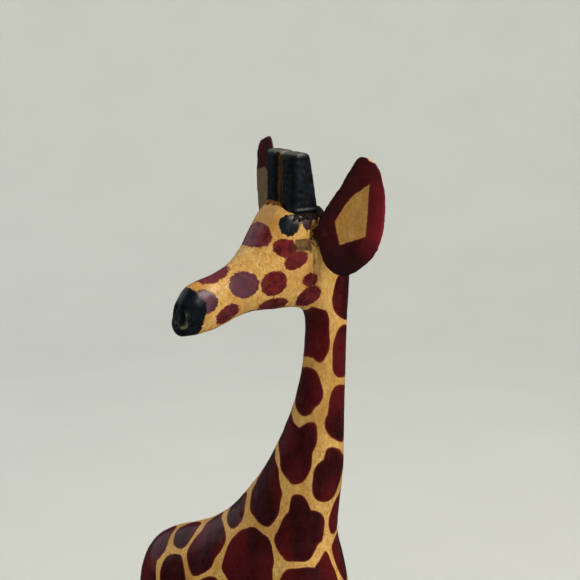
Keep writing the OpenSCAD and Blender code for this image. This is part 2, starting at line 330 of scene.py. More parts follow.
def net_field(points):
    """Distance in mm inside the nearest spot of the net."""
    seeds, groups, sizes = net_seeds(points)
    stretch = stretch_at(points[:, 2])
    reach = np.empty((len(points), len(seeds)))
    for i, seed in enumerate(seeds):
        rel = points - seed
        rel[:, 2] *= stretch
        reach[:, i] = np.linalg.norm(rel, axis=1) - sizes[i]
    nearest = reach.argmin(axis=1)
    own = reach.min(axis=1)
    others = np.where(groups[None, :] == groups[nearest][:, None], 1e3, reach)
    gap = np.interp(points[:, 2], [118, 128], NET_GAP)
    field = (soft_min(others, 1.1) - own) / 2 - gap / 2
    cap = np.interp(points[:, 2], [10, 60, 80, 120, 145, 160], [2.7, 3.8, 7.0, 6.6, 5.4, 4.3])
    field = np.minimum(field, cap - own) + 0.18 * wave_noise(points, 6.0, 21)
    return field


def head_field(points):
    """Distance in mm inside the nearest spot of the head, and how violet that spot is."""
    side = points[:, 1]
    plane = points[:, [0, 2]]
    layers = []
    for spots, sign in ((LEFT_CHEEK, 1), (RIGHT_CHEEK, -1)):
        for ahead, rise, length, height, tilt in spots:
            field = oval(plane, (ahead, rise), (length, height), tilt)
            layers.append(np.where(side * sign > 0.8, field, OUTSIDE))
    for ahead, across, rise, length, width in TOP_SPOTS:
        rel = np.stack([points[:, 0] - ahead, points[:, 2] - rise], 1)
        along = np.linalg.norm(rel, axis=1)
        layers.append((1 - np.sqrt((along / length) ** 2 + ((side - across) / width) ** 2)) * length)
    bridge = oval(plane, NOSE_BRIDGE[:2], NOSE_BRIDGE[2:], BRIDGE_TILT)
    layers.append(bridge)
    return np.array(layers).max(axis=0), violet_tint(points, bridge)


def violet_tint(points, bridge):
    """How violet the paint is: most on the muzzle, little on forehead, jaw and nose bridge."""
    ahead, rise = points[:, 0], points[:, 2]
    violet = np.interp(ahead, [20, 23, 35], [0, 0.75, 1])
    violet = np.where(rise > 16.5, np.interp(ahead, [18.2, 20.8], [0, 0.3]), violet)
    violet = np.where((rise < 5.8) & (ahead < 32), 0.2, violet)
    return np.where(bridge > -0.3, 0.35, violet)


def black_field(head, body):
    """Distance in mm inside the black paint, and inside the part of it that ran from an eye."""
    ahead, side, rise = head[:, 0], head[:, 1], head[:, 2]
    edge_rise, edge_ahead = np.array(MUZZLE_EDGE).T
    muzzle = ahead - np.interp(rise, edge_rise, edge_ahead)
    eyes = np.full(len(head), OUTSIDE)
    for place in EYES:
        eyes = np.maximum(eyes, EYE_RADIUS - np.linalg.norm(head - place, axis=1))
    feet = np.minimum(rise - 22.9 + 0.3 * np.sin(ahead * 1.7), 4.0 - np.abs(ahead - 8.8))
    run = oval(head[:, [0, 2]], EYE_RUN[:2], EYE_RUN[2:])
    run = np.where(np.abs(side) > 3, run, OUTSIDE)
    painted = np.where(body[:, 2] > HEAD_BASE, np.maximum.reduce([muzzle, eyes, feet, run]), OUTSIDE)
    hooves = HOOF_TOP - body[:, 2] + 0.3 * np.sin(body[:, 0] * 2.1 + body[:, 1] * 1.7)
    return np.maximum(painted, hooves), np.where(eyes > 0, OUTSIDE, run)


# ---------------------------------------------------------------- carved body

# Dark lines round the notch under an eye, painted in as cracks and as shade along the notch's edges:
# start, end, width and darkness.
EYE_CRACKS = [
    ((13.2, 6.2, 16.6), (9.6, 6.6, 16.3), 0.4, 0.3),
    ((9.3, 6.6, 18.4), (9.1, 6.6, 15.6), 0.36, 0.28),
    ((13.0, 6.2, 18.7), (10.6, 6.5, 18.8), 0.34, 0.2),
    ((12.4, 6.3, 15.4), (10.0, 6.6, 15.1), 0.34, 0.16),
    ((25.0, 4.2, 12.8), (24.0, 4.4, 12.4), 0.4, 0.14),
]
# Carved lines: start, end, width and depth. Two run down before the ear, the rest are
# the nostril, the mouth and nicks in the cheek.
CHISEL_LINES = [
    ((8.3, 6.7, 17.0), (8.0, 6.5, 10.6), 0.42, 0.26),
    ((6.6, 6.4, 16.6), (6.4, 6.2, 10.2), 0.38, 0.2),
    ((39.2, 1.5, 5.8), (39.4, 2.1, 3.6), 0.5, 0.65),
    ((39.9, 0.2, 2.0), (37.6, 2.6, 1.9), 0.4, 0.4),
    ((37.6, 2.6, 1.9), (34.8, 3.2, 2.6), 0.4, 0.3),
    ((21.3, 4.2, 13.9), (20.7, 4.4, 13.4), 0.4, 0.25),
    ((31.6, 3.2, 8.4), (31.2, 3.3, 8.1), 0.4, 0.18),
]
# Pale line that curls around each nostril, scuffed paint that also stands in for a highlight on the nose's
# rim: half width, start, swing and number of steps.
NOSE_CURL = 1.5
NOSE_START = -150
NOSE_SWING = 250
NOSE_STEPS = 24


def on_side(place, side):
    """A place on the left of the head, or its mirror image on the right for side -1."""
    return place[0], place[1] * side, place[2]


def groove(points, start, end, width, depth):
    """Depth in mm of a carved line between two points of the head."""
    start, end = np.array(start), np.array(end)
    line = end - start
    along = np.clip((points - start) @ line / (line @ line), 0, 1)
    away = np.linalg.norm(points - (start + along[:, None] * line), axis=1)
    return depth * np.exp(-(away / width) ** 2)


def fade(values):
    """From 1 for very negative values to 0 for large ones, soft around 0."""
    return 1 / (1 + np.exp(np.minimum(values, 500)))


def eye_notch(points, side):
    """A shallow square notch under each painted eye, from 0 outside it to 1 inside."""
    ahead, rise = points[:, 0] - 11.1, points[:, 2] - 17.6
    inside = fade(6 * (np.abs(ahead) - 2.3)) * fade(7 * (np.abs(rise) - 1.1))
    return np.where(points[:, 1] * side > 2, inside, 0)


def carve_head(head):
    """Depth in mm that carving takes off the head at each point, and how dark it is painted there: cracks,
    and painted shade in the notch and the deeper cuts.
    """
    cut = np.zeros(len(head))
    crack_and_recess_shade = np.zeros(len(head))
    for side in (1, -1):
        notch = eye_notch(head, side)
        cut += 0.16 * notch
        # The notch is also painted darker inside: painted shade in the recess.
        crack_and_recess_shade += 0.13 * notch
        for start, end, width, dark in EYE_CRACKS:
            crack_and_recess_shade += groove(head, on_side(start, side), on_side(end, side), width, dark)
        for start, end, width, depth in CHISEL_LINES:
            cut += groove(head, on_side(start, side), on_side(end, side), width, depth)
    # Deeper cuts are painted darker too: painted shade in the carved lines.
    return cut, crack_and_recess_shade + cut


def nose_scuffed_glint_line(head):
    """How close each point of the black nose lies to a curled line around a nostril, painted pale green as
    scuffed paint and as a painted highlight.
    """
    best = np.full(len(head), 9.0)
    for side in (1, -1):
        for step in range(NOSE_STEPS):
            angle = math.radians(NOSE_START + NOSE_SWING * step / NOSE_STEPS)
            reach = NOSE_CURL * (0.75 + 0.3 * step / NOSE_STEPS)
            place = (39.3, side * (1.5 + reach * math.cos(angle)), 3.4 + reach * math.sin(angle) * 1.3)
            best = np.minimum(best, np.linalg.norm((head - place) * (0.4, 1, 1), axis=1))
    return np.where(head[:, 0] > 36.5, 0.5 - best, OUTSIDE)


def pore_pits(points, count, seed):
    """Depth in mm of scattered open wood pores, longer along the grain."""
    rng = np.random.default_rng(seed)
    cut = np.zeros(len(points))
    for center in points[rng.integers(0, len(points), count)]:
        near = np.abs(points - center).max(axis=1) < 2
        rel = (points[near] - center) * (1, 1, 0.45)
        cut[near] += 0.16 * np.exp(-(np.linalg.norm(rel, axis=1) / 0.32) ** 2)
    return cut


def build_body():
    """The carved block: knife marks and pores in the mesh, painted areas as attributes."""
    body = fine_copy("carved_body", "giraffe_carving", BODY_VOXEL, 9)
    points, out = vertices(body), normals(body)
    place = in_body(points)
    head = in_head(points)
    is_head = (place[:, 2] > HEAD_BASE) & (np.abs(head[:, 1]) < 8)
    rough = 0.05 * wave_noise(place * (1, 1, 0.5), 7.0, 11) + 0.03 * wave_noise(place, 3.0, 12)
    pores = np.zeros(len(place))
    pores[is_head] = pore_pits(place[is_head], 70, 5)
    cut, crack_and_recess_shade = (np.where(is_head, values, 0) + pores for values in carve_head(head))
    above_sole = np.clip(place[:, 2] / 2.0, 0, 1)
    set_vertices(body, points + out * ((rough - cut) * above_sole * MM)[:, None])
    net = net_field(place)
    spots, violet = head_field(head)
    spots = np.where(place[:, 2] > HEAD_BASE, spots, OUTSIDE)
    net = np.where((place[:, 2] < 158) | (head[:, 0] < 6.5), net, OUTSIDE)
    net = np.where(place[:, 2] < 172, net, OUTSIDE)
    store(body, "spot", np.maximum(net, spots))
    store(body, "violet", np.where(spots > net, violet, 0.0))
    black, run = black_field(head, place)
    store(body, "black", black)
    store(body, "run", run)
    dabbed = np.interp(head[:, 0] + 0.3 * head[:, 2], [5, 8], [0.12, 1.0])
    store(body, "ragged", np.where(place[:, 2] > 158, dabbed, 0.12))
    # Darkness of the cracks and the painted shade in the carved lines and the notch.
    store(body, "crack_and_recess_shade", crack_and_recess_shade)
    store(body, "scuffed_glint", nose_scuffed_glint_line(head))
    shade_smooth(body)
    body.data.materials.append(painted_wood())
    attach(body, "root")
    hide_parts("carved_body")
    return body


# ---------------------------------------------------------------- materials

class Nodes:
    """Short helpers for building one node material."""

    def __init__(self, name):
        self.material = bpy.data.materials.new(name)
        self.material.use_nodes = True
        self.tree = self.material.node_tree
        self.shader = self.tree.nodes["Principled BSDF"]
        self.place = self.tree.nodes.new("ShaderNodeTexCoord").outputs["Object"]

    def link(self, source, socket):
        if hasattr(source, "links"):
            self.tree.links.new(source, socket)
        else:
            socket.default_value = source

    def attribute(self, name):
        node = self.tree.nodes.new("ShaderNodeAttribute")
        node.attribute_name = name
        return node.outputs["Fac"]

    def math(self, operation, a, b=0.0, c=0.0):
        node = self.tree.nodes.new("ShaderNodeMath")
        node.operation = operation
        for socket, value in zip(node.inputs, (a, b, c)):
            self.link(value, socket)
        return node.outputs[0]

    def scaled(self, scale):
        node = self.tree.nodes.new("ShaderNodeVectorMath")
        node.operation = "MULTIPLY"
        self.link(self.place, node.inputs[0])
        node.inputs[1].default_value = scale
        return node.outputs[0]

    def noise(self, size_mm, stretch=(1, 1, 1), detail=3.0, rough=0.55, distortion=0.0):
        node = self.tree.nodes.new("ShaderNodeTexNoise")
        factor = 1 / (size_mm * MM)
        self.link(self.scaled(tuple(factor * s for s in stretch)), node.inputs["Vector"])
        node.inputs["Scale"].default_value = 1
        node.inputs["Detail"].default_value = detail
        node.inputs["Roughness"].default_value = rough
        node.inputs["Distortion"].default_value = distortion
        return node.outputs["Fac"]

    def cells(self, size_mm, stretch=(1, 1, 1), feature="F1"):
        node = self.tree.nodes.new("ShaderNodeTexVoronoi")
        node.feature = feature
        factor = 1 / (size_mm * MM)
        self.link(self.scaled(tuple(factor * s for s in stretch)), node.inputs["Vector"])
        node.inputs["Scale"].default_value = 1
        return node.outputs["Distance"]

    def between(self, value, low, high, to_low=0.0, to_high=1.0):
        node = self.tree.nodes.new("ShaderNodeMapRange")
        node.interpolation_type = "SMOOTHSTEP"
        self.link(value, node.inputs["Value"])
        for name, number in (("From Min", low), ("From Max", high),
                             ("To Min", to_low), ("To Max", to_high)):
            node.inputs[name].default_value = number
        return node.outputs["Result"]

    def mix(self, factor, a, b):
        node = self.tree.nodes.new("ShaderNodeMix")
        node.data_type = "RGBA"
        self.link(factor, node.inputs[0])
        self.link(a, node.inputs[6])
        self.link(b, node.inputs[7])
        return node.outputs[2]

    def ramp(self, value, *stops):
        node = self.tree.nodes.new("ShaderNodeValToRGB")
        self.link(value, node.inputs[0])
        elements = node.color_ramp.elements
        while len(elements) < len(stops):
            elements.new(0.5)
        for element, (position, color) in zip(elements, stops):
            element.position = position
            element.color = rgb(*color)
        return node.outputs["Color"]

    def bump(self, height, strength, distance_mm, normal=None):
        node = self.tree.nodes.new("ShaderNodeBump")
        node.inputs["Strength"].default_value = strength
        node.inputs["Distance"].default_value = distance_mm * MM
        self.link(height, node.inputs["Height"])
        if normal is not None:
            self.link(normal, node.inputs["Normal"])
        return node.outputs["Normal"]

    def finish(self, color, roughness, normal, coat=0.5, coat_roughness=0.16, specular=0.5):
        self.link(color, self.shader.inputs["Base Color"])
        self.link(roughness, self.shader.inputs["Roughness"])
        if normal is not None:
            self.link(normal, self.shader.inputs["Normal"])
        self.shader.inputs["Coat Weight"].default_value = coat
        self.shader.inputs["Coat Roughness"].default_value = coat_roughness
        self.shader.inputs["Specular IOR Level"].default_value = specular
        return self.material


def linear(value):
    """A screen value from 0 to 255 as linear light from 0 to 1."""
    value /= 255
    return value / 12.92 if value <= 0.04045 else ((value + 0.055) / 1.055) ** 2.4


def rgb(red, green, blue):
    """A color given as it looks on screen, 0 to 255, for a shader."""
    return (linear(red), linear(green), linear(blue), 1)


OCHRE = (198, 148, 70)
OCHRE_DEEP = (168, 116, 46)
OCHRE_PALE = (212, 170, 98)
MAROON = (78, 7, 11)
MAROON_DEEP = (36, 3, 6)
MAROON_THIN = (116, 34, 28)
DABBED_RED = (110, 32, 32)
VIOLET = (94, 64, 78)
BLACK_PAINT = (9, 14, 17)
BLACK_BLUE = (15, 24, 33)
RUN_PURPLE = (54, 22, 34)
# Lighter red of the left ear's outer rim, a painted highlight.
EAR_RIM_HIGHLIGHT = (134, 30, 42)
# Dark red for painted shade on the ears.
EAR_SHADE = (40, 15, 17)
# Pale green of the line round the nostrils: scuffed paint and a painted highlight.
SCUFF_GLINT_GREEN = (112, 112, 84)
BARE_WOOD = (222, 170, 124)
# Darker tone of each ear's patch, and how far the patch is mixed toward it; on the right ear this
# grey-brown is painted shade and sheen.
PATCH_TONE = {"left": (146, 102, 42), "right": (84, 74, 62)}
PATCH_DARKENING = {"left": 0.6, "right": 0.9}
RAW_BROWN = (96, 66, 40)


def ochre_ground(n):
    """Yellow dyed ground over fine vertical grain, with blotches and dark open pores."""
    grain = n.noise(0.45, (1, 1, 0.12), 4, 0.6, 0.4)
    dry = n.noise(0.8, (1, 1, 0.7), 5, 0.7, 1.2)
    blotch = n.noise(6.0, (1, 1, 0.6), 3)
    pores = n.cells(0.95, (1, 1, 0.34))
    color = n.mix(n.between(grain, 0.36, 0.7, 0.15, 0.85), rgb(*OCHRE_PALE), rgb(*OCHRE))
    fleck = n.noise(0.42, (1, 1, 0.5), 2, 0.6)
    color = n.mix(n.between(dry, 0.46, 0.66, 0, 0.75), color, rgb(166, 114, 46))
    color = n.mix(n.between(dry, 0.34, 0.47, 0.6, 0), color, rgb(230, 196, 132))
    color = n.mix(n.between(fleck, 0.62, 0.72, 0, 0.55), color, rgb(118, 76, 34))
    color = n.mix(n.between(blotch, 0.42, 0.74, 0, 0.75), color, rgb(*OCHRE_DEEP))
    speck = n.between(pores, 0.05, 0.13, 0.8, 0)
    thin_out = n.between(n.noise(2.6), 0.5, 0.62)
    speck = n.math("MULTIPLY", speck, thin_out)
    color = n.mix(speck, color, rgb(84, 46, 18))
    return color, grain, speck


def maroon_paint(n, depth, dabbed, violet):
    """Brushed dark red paint: smooth and deep, or lighter and mottled where it was dabbed on."""
    pool = n.noise(9.0, (1, 1, 0.5), 1)
    streak = n.noise(1.6, (1, 1, 0.25), 4, 0.6, 0.6)
    mottle = n.noise(1.9, detail=4, rough=0.6, distortion=0.8)
    smooth = n.mix(n.between(pool, 0.36, 0.66), rgb(*MAROON_DEEP), rgb(*MAROON))
    smooth = n.mix(n.between(streak, 0.54, 0.84, 0, 0.28), smooth, rgb(*MAROON_THIN))
    rough = n.mix(n.between(mottle, 0.36, 0.62), rgb(70, 16, 20), rgb(*DABBED_RED))
    dark_violet = n.mix(n.between(pool, 0.4, 0.6), rgb(56, 38, 46), rgb(*VIOLET))
    rough = n.mix(n.math("MULTIPLY", violet, 0.8), rough, dark_violet)
    color = n.mix(dabbed, smooth, rough)
    thin = n.math("MULTIPLY", n.between(depth, 0.5, 0.0), 0.4)
    return n.mix(thin, color, rgb(*MAROON_THIN))


def painted_wood():
    """Ochre ground with maroon spots, black paint over both, and painted shade in the carved lines, the
    notch and the cracks.
    """
    n = Nodes("painted_wood")
    ground, grain, speck = ochre_ground(n)
    ragged = n.attribute("ragged")
    brush = n.math("SUBTRACT", n.noise(0.9, detail=4, rough=0.6), 0.5)
    bristle = n.math("SUBTRACT", n.noise(0.35, detail=2), 0.5)
    shake = n.math("ADD", n.math("MULTIPLY", brush, 1.1), n.math("MULTIPLY", bristle, 0.7))
    shake = n.math("MULTIPLY", shake, ragged)
    depth = n.math("ADD", n.attribute("spot"), shake)
    black_depth = n.math("ADD", n.attribute("black"), n.math("MULTIPLY", shake, 1.2))
    spot = n.between(depth, -0.06, 0.1)
    black = n.between(black_depth, -0.08, 0.14)
    spots = maroon_paint(n, depth, ragged, n.attribute("violet"))
    darkness = n.noise(1.2, detail=3)
    blacks = n.mix(n.between(darkness, 0.35, 0.7), rgb(*BLACK_PAINT), rgb(*BLACK_BLUE))
    color = n.mix(spot, ground, spots)
    blacks = n.mix(n.between(n.attribute("run"), -1.2, 0.6, 0, 0.9), blacks, rgb(*RUN_PURPLE))
    # Scuffed paint and painted highlight: a pale green line round each nostril.
    wear_and_glint = n.math("MULTIPLY", n.between(n.attribute("scuffed_glint"), -0.1, 0.4), n.between(brush, -0.1, 0.1))
    blacks = n.mix(n.math("MULTIPLY", wear_and_glint, 0.8), blacks, rgb(*SCUFF_GLINT_GREEN))
    color = n.mix(black, color, blacks)
    # Painted shade in the carved lines, notch and cracks: dark brown on wood, near black on black paint;
    # also rougher there.
    crack_and_recess_mix = n.between(n.attribute("crack_and_recess_shade"), 0.06, 0.36, 0, 0.9)
    color = n.mix(crack_and_recess_mix, color, n.mix(black, rgb(50, 28, 14), rgb(5, 6, 7)))
    paint = n.math("MAXIMUM", spot, black)
    rough = n.math("ADD", n.between(n.noise(3.0), 0.3, 0.7, 0.3, 0.46), n.math("MULTIPLY", paint, -0.08))
    rough = n.math("ADD", rough, n.math("MULTIPLY", crack_and_recess_mix, 0.5))
    height = n.math("ADD", n.math("MULTIPLY", grain, 0.35), n.math("MULTIPLY", paint, 0.5))
    height = n.math("ADD", height, n.math("MULTIPLY", n.noise(1.8, (1, 1, 0.4), 3), 0.8))
    height = n.math("SUBTRACT", height, n.math("MULTIPLY", speck, 0.6))
    return n.finish(color, rough, n.bump(height, 0.8, 0.15), coat=0.15, coat_roughness=0.22, specular=0.25)


def painted_ear(name):
    """Maroon paint round a yellow patch that is mixed toward a darker tone; on the right ear that tone is
    a grey-brown of painted shade and sheen.
    """
    n = Nodes(f"painted_{name}_ear")
    ground, grain, _ = ochre_ground(n)
    wobble = n.math("MULTIPLY", n.math("SUBTRACT", n.noise(1.1, detail=3), 0.5), 0.45)
    patch = n.between(n.math("ADD", n.attribute("patch"), wobble), -0.05, 0.06)
    bare = n.between(n.math("ADD", n.attribute("bare"), n.math("MULTIPLY", wobble, 2.0)), -0.1, 0.1)
    coat = maroon_paint(n, n.math("MULTIPLY", n.attribute("patch"), -1.0), 0.15, 0.0)
    # Painted highlight: lighter red on the left ear's outer rim, from the red attribute.
    coat = n.mix(n.attribute("red"), coat, rgb(*EAR_RIM_HIGHLIGHT))
    # Painted shade on the ears, from the deep attribute.
    coat = n.mix(n.math("MULTIPLY", n.attribute("deep"), 0.85), coat, rgb(*EAR_SHADE))
    # The patch mixed toward its darker tone, on the right ear as painted shade and sheen.
    color = n.mix(patch, coat, n.mix(PATCH_DARKENING[name], ground, rgb(*PATCH_TONE[name])))
    color = n.mix(bare, color, rgb(*BARE_WOOD))
    rough = n.between(n.noise(2.2), 0.3, 0.7, 0.26, 0.42)
    height = n.math("ADD", n.math("MULTIPLY", grain, 0.4), n.math("MULTIPLY", patch, -0.5))
    height = n.math("ADD", height, n.math("MULTIPLY", n.noise(1.6, (1, 1, 0.3), 3), 0.8))
    return n.finish(color, rough, n.bump(height, 0.5, 0.12), coat=0.25, coat_roughness=0.16, specular=0.22)


def black_stub():
    """Black paint with a blue cast, bare brown wood between the stubs, and grey tops that are both scuffed
    paint and a painted highlight.
    """
    n = Nodes("black_stub")
    grain = n.noise(0.5, (1, 1, 0.08), 4, 0.6, 0.3)
    blotch = n.noise(2.2, detail=4)
    color = n.mix(n.between(blotch, 0.35, 0.7), rgb(*BLACK_PAINT), rgb(*BLACK_BLUE))
    shake = n.math("MULTIPLY", n.math("SUBTRACT", n.noise(1.0, detail=4), 0.5), 0.9)
    bare = n.between(n.math("ADD", n.attribute("bare"), shake), -0.1, 0.15)
    wood = n.mix(n.between(grain, 0.35, 0.7), rgb(*RAW_BROWN), rgb(64, 42, 26))
    color = n.mix(bare, color, wood)
    # Grey on the stubs' tops: scuffed paint and a painted highlight.
    wear_and_highlight = n.between(n.math("ADD", n.attribute("wear_and_highlight"), shake), 0.0, 0.5, 0, 0.6)
    color = n.mix(wear_and_highlight, color, rgb(112, 114, 104))
    height = n.math("ADD", n.math("MULTIPLY", grain, 0.8), n.math("MULTIPLY", blotch, 0.7))
    rough = n.between(blotch, 0.3, 0.7, 0.3, 0.5)
    return n.finish(color, rough, n.bump(height, 0.4, 0.12), coat=0.12, coat_roughness=0.3, specular=0.22)


def old_glue():
    """Brown glue full of sawdust, blackened by paint near the eye and the left stub."""
    n = Nodes("old_glue")
    grit = n.cells(0.42)
    crumbs = n.noise(0.5, detail=4, rough=0.7)
    color = n.ramp(crumbs, (0.3, (38, 20, 10)), (0.46, (98, 56, 20)),
                   (0.58, (156, 106, 44)), (0.75, (70, 34, 16)))
    color = n.mix(n.between(grit, 0.1, 0.3, 0.7, 0), color, rgb(30, 16, 12))
    color = n.mix(n.math("MULTIPLY", n.attribute("soot"), 0.94), color, rgb(12, 13, 14))
    height = n.math("ADD", crumbs, n.math("MULTIPLY", grit, 0.6))
    return n.finish(color, n.between(crumbs, 0.3, 0.7, 0.45, 0.8), n.bump(height, 0.8, 0.2),
                    coat=0.05, coat_roughness=0.3, specular=0.15)


# ---------------------------------------------------------------- ears

# Corners of the yellow patch in each ear's hollow: across and along from its root.
PATCH = {
    "left": [(6.8, 13.3), (8.3, 1.8), (2.9, -1.4), (0.8, 3.3), (2.2, 7.3), (3.6, 9.8)],
    "right": [(6.0, 12.6), (14.0, 12.4), (14.0, -9.0), (2.0, -9.0), (0.8, 3.3), (2.2, 7.3)],
}


def in_ear(points, name):
    """Points in metres as out of the hollow face, across and along the ear, in mm."""
    sign = 1 if name == "left" else -1
    head = in_head(points)
    rel = head - (EAR_SEAT_FORWARD, sign * (EAR_SEAT_SIDE + EAR_STAND_OFF), EAR_SEAT_UP)
    ahead, side, up = rel[:, 0], rel[:, 1] * sign, rel[:, 2]
    turn = EAR_TURN[name]
    out = ahead * math.cos(turn) + side * math.sin(turn)
    across = -ahead * math.sin(turn) + side * math.cos(turn)
    lean = EAR_LEAN[name]
    along = up * math.cos(lean) + across * math.sin(lean)
    across = across * math.cos(lean) - up * math.sin(lean)
    return np.stack([out, across, along - EAR_LIFT[name]], 1)


def build_ear(name):
    """A leaf-shaped ear; the left one has painted shade low down, on its inner edge and at its tip, a
    painted highlight on its outer rim and a chip at its tip; the right one is evenly darkened as painted
    shade.
    """
    is_left = name == "left"
    ear = fine_copy(f"{name}_ear", f"{name}_ear_leaf", SMALL_VOXEL, 14)
    points, out = vertices(ear), normals(ear)
    local = in_ear(points, name)
    swell = 0.05 * wave_noise(local, 4.0, 31) + 0.03 * wave_noise(local, 1.6, 32)
    plate = np.clip((local[:, 1] + 4) / 2, 0, 1)
    set_vertices(ear, points + out * (swell * plate * MM)[:, None])
    patch = polygon_field(local[:, 1:], PATCH[name])
    front = 0.3 if is_left else 0.0
    store(ear, "patch", np.where(out @ ear_normal(name) > front, patch, -2.0))
    # Painted highlight: the left ear's outer rim is painted a lighter red.
    outer = np.interp(local[:, 1], [6, 11.4], [0, 0.8]) * np.interp(local[:, 2], [-6, 2], [0, 1])
    red = outer * (1 + 0.3 * wave_noise(local, 5.0, 34)) if is_left else np.zeros(len(local))
    store(ear, "red", red)
    # Painted shade: the left ear is darker low down, along its inner edge and toward its tip; the whole
    # right ear is darkened evenly.
    low = np.interp(local[:, 2] - local[:, 1] * 0.3, [-7, 0], [1, 0])
    inner = np.interp(local[:, 1] - local[:, 2] * 0.35, [-3, 1.5], [0.9, 0])
    tip_shade = np.interp(local[:, 2], [13.5, 17], [0, 0.6])
    deep = np.maximum.reduce([low, inner, tip_shade]) if is_left else np.full(len(local), 0.4)
    store(ear, "deep", deep * (1 + 0.2 * wave_noise(local, 4.0, 35)))
    tip = np.linalg.norm((local - (0.0, 7.0, 18.9)) * (1, 0.7, 1.3), axis=1)
    store(ear, "bare", (1.05 if is_left else 0.0) - tip)
    shade_smooth(ear)
    ear.data.materials.append(painted_ear(name))
    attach(ear, "root")
    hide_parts(f"{name}_ear")
    return ear


def ear_normal(name):
    """Direction that the ear's hollow face looks in."""
    turn = EAR_TURN[name] * (1 if name == "left" else -1)
    return np.array(FORWARD * math.cos(turn) + LEFT * math.sin(turn))


# ---------------------------------------------------------------- horn stubs

def build_stub(name):
    """A square-cut stub with a rounded back shoulder and a flared foot."""
    side = 1 if name == "left" else -1
    stub = fine_copy(f"{name}_horn_stub", f"{name}_horn", SMALL_VOXEL, 22)
    points, out = vertices(stub), normals(stub)
    head = in_head(points)
    up = head[:, 2] - 23.6
    shown = np.clip(up / 0.8, 0, 1)
    shape = 0.08 * wave_noise(head * (1, 1, 0.3), 4.0, 41 + side) + 0.025 * wave_noise(head, 1.5, 43)
    set_vertices(stub, points + out * (shape * shown * MM)[:, None])
    shoulder = np.clip(9.9 - head[:, 0], 0, 3) ** 2 * np.clip(up - 9, 0, 4) * 0.05
    flare = 0.35 * np.clip(1 - np.abs(up - 0.9) / 0.9, 0, 1)
    points = vertices(stub)
    points[:, 2] -= shoulder * MM
    set_vertices(stub, points + out * (flare * MM)[:, None])
    store(stub, "bare", 1.1 - np.abs(head[:, 1] - 0.2))
    # Grey toward the top of the stub: scuffed paint and a painted highlight.
    store(stub, "wear_and_highlight", 0.35 - (13.7 - up) * 0.9)
    shade_smooth(stub)
    stub.data.materials.append(black_stub())
    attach(stub, "root")
    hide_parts(f"{name}_horn_stub")
    return stub


# ---------------------------------------------------------------- glue

def blob_mass(name, centers, radii, seed):
    """One rough lump from overlapping balls."""
    rng = np.random.default_rng(seed)
    bm = bmesh.new()
    for center, radius in zip(centers, radii):
        made = bmesh.ops.create_icosphere(bm, subdivisions=2, radius=radius)["verts"]
        squash = Vector(rng.uniform(0.75, 1.2, 3))
        for vert in made:
            vert.co = Vector(c * s for c, s in zip(vert.co, squash)) + Vector(center)
    mesh = bpy.data.meshes.new(name)
    bm.to_mesh(mesh)
    bm.free()
    obj = new_object(name, mesh)
    remesh = obj.modifiers.new("Remesh", "REMESH")
    remesh.mode = "VOXEL"
    remesh.voxel_size = GLUE_VOXEL
    baked(obj, name)
    points, out = vertices(obj), normals(obj)
    rough = 0.06 * wave_noise(points / MM, 0.8, seed + 1) + 0.05 * wave_noise(points / MM, 0.4, seed + 2)
    set_vertices(obj, points + out * (rough * MM)[:, None])
    shade_smooth(obj)
    obj.data.materials.append(bpy.data.materials.get("old_glue") or old_glue())
    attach(obj, "root")
    return obj


def glue_around(name, node, body_points, keep, count, sizes, seed):
    """Blobs of glue on the body's surface where keep says so, smaller beside the left ear."""
    rng = np.random.default_rng(seed)
    head = in_head(body_points)
    chosen = body_points[keep(head)]
    picks = chosen[rng.permutation(len(chosen))[:count]]
    radii = rng.uniform(*sizes, len(picks)) * np.where(in_head(picks)[:, 1] > 5.4, 0.6, 1.0)
    mass = blob_mass(name, picks, radii * MM, seed)
    head = in_head(vertices(mass))
    soot = np.maximum(np.interp(head[:, 0], [5.5, 8], [1, 0]), np.interp(head[:, 1], [2.5, 4], [0, 1]))
    store(mass, "soot", soot if node == "horn_glue" else np.zeros(len(head)))
    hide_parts(node)


def near_ear_root(side):
    """A test for a ring of skin round the ear's root on side 1 (left) or -1 (right)."""
    def keep(head):
        away = np.hypot(head[:, 0] - EAR_SEAT_FORWARD, head[:, 2] - EAR_SEAT_UP)
        return (head[:, 1] * side > 4.2) & (away < 3.4) & (away > 1.2)
    return keep


def near_stub_roots(head):
    """At the feet of both stubs: in front between them, beside the left one and all along behind."""
    across = np.abs(head[:, 1])
    in_front = (head[:, 0] > 12.8) & (head[:, 0] < 14.4) & (across < 3.6) & (head[:, 1] < 1.5)
    behind = (head[:, 0] > 4.2) & (head[:, 0] < 6.4) & (across < 6.6)
    beside = (head[:, 0] > 5.0) & (head[:, 0] < 13.2) & (head[:, 1] > 5.5) & (head[:, 1] < 6.5)
    return (in_front | behind | beside) & (head[:, 2] > 22.8)


def build_glue(body):
    """The three glue beads: name, node, where, count, sizes in mm and seed of each."""
    points = vertices(body)
    glue_around("left_ear_bead", "left_ear_glue", points, near_ear_root(1), 90, (0.3, 0.6), 51)
    glue_around("right_ear_bead", "right_ear_glue", points, near_ear_root(-1), 70, (0.3, 0.6), 52)
    glue_around("horn_bead", "horn_glue", points, near_stub_roots, 210, (0.3, 0.8), 53)


# ---------------------------------------------------------------- tail

def tail_paint():
    """Ochre stem and a black tuft of carved strands."""
    n = Nodes("tail_paint")
    ground, grain, _ = ochre_ground(n)
    strands = n.noise(0.4, (1, 1, 0.1), 3, 0.6)
    tuft = n.between(n.attribute("black"), -0.1, 0.2)
    color = n.mix(tuft, ground, n.mix(strands, rgb(*BLACK_PAINT), rgb(*BLACK_BLUE)))
    height = n.math("ADD", grain, n.math("MULTIPLY", strands, tuft))
    return n.finish(color, n.between(strands, 0.3, 0.7, 0.34, 0.5), n.bump(height, 0.6, 0.15))


